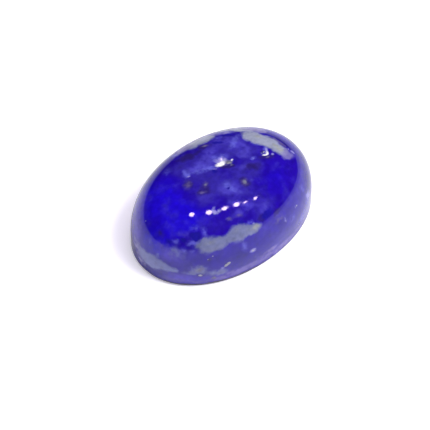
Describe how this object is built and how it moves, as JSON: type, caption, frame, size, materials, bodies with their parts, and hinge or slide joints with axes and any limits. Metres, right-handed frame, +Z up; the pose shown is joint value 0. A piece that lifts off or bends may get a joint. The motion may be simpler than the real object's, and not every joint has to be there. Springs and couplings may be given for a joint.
{
  "type": "lapis lazuli cabochon",
  "caption": "Oval polished stone with a high dome, an upright wall and a flat back to rest or be set on.",
  "frame": {"origin": "middle of the flat back, which lies on Z = 0", "axes": "+X along the longest way across, +Y along the width, +Z up through the dome, the shortest way through"},
  "size_m": [0.014, 0.0098, 0.0049],
  "materials": {
    "polished_lapis": "polished"
  },
  "bodies": {
    "root": {"lapis_cabochon": "polished_lapis"}
  },
  "joints": []
}
